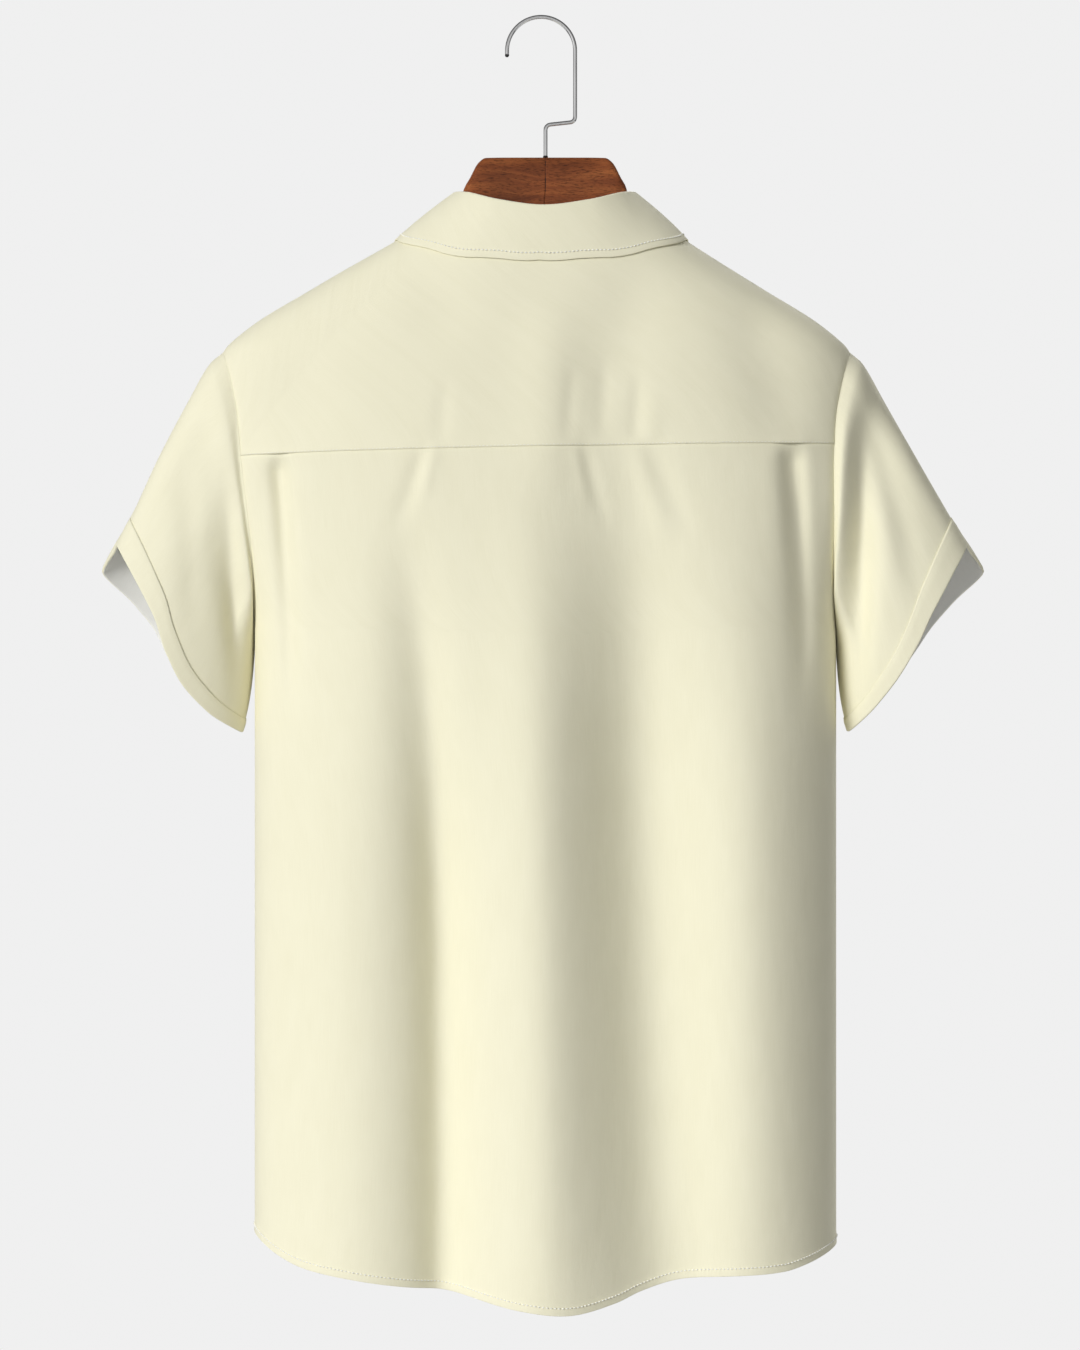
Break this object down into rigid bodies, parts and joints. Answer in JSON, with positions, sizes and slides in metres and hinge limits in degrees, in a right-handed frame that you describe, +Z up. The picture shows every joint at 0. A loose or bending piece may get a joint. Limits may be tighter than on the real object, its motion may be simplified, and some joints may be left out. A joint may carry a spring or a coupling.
{
  "type": "hawaiian shirt on a hanger",
  "caption": "Short-sleeved camp-collar shirt with turned-up cuffs and a curved hem, hanging open and hollow on a wooden hanger with a bent wire hook.",
  "frame": {"origin": "inner top of the hanger's hook, where a rail or peg carries it", "axes": "+Z up, +X the wearer's left, -Y the shirt's front"},
  "size_m": [0.6386, 0.1835, 0.92],
  "materials": {
    "shirt_fabric": "smooth satin-faced viscose, plain pale cream",
    "button": "pearly",
    "hanger_wood": "reddish-brown gloss varnish",
    "hook_wire": "polished"
  },
  "bodies": {
    "root": {"back": "shirt_fabric", "yoke": "shirt_fabric", "front_left": "shirt_fabric", "front_right": "shirt_fabric", "lapel_left": "shirt_fabric", "lapel_right": "shirt_fabric", "collar": "shirt_fabric", "sleeve_left": "shirt_fabric", "sleeve_right": "shirt_fabric", "cuff_left": "shirt_fabric", "cuff_right": "shirt_fabric", "button_1": "button", "button_2": "button", "button_3": "button", "button_4": "button", "button_5": "button", "button_6": "button", "hanger_left": "hanger_wood", "hanger_right": "hanger_wood", "hanger_hook": "hook_wire"}
  },
  "joints": []
}
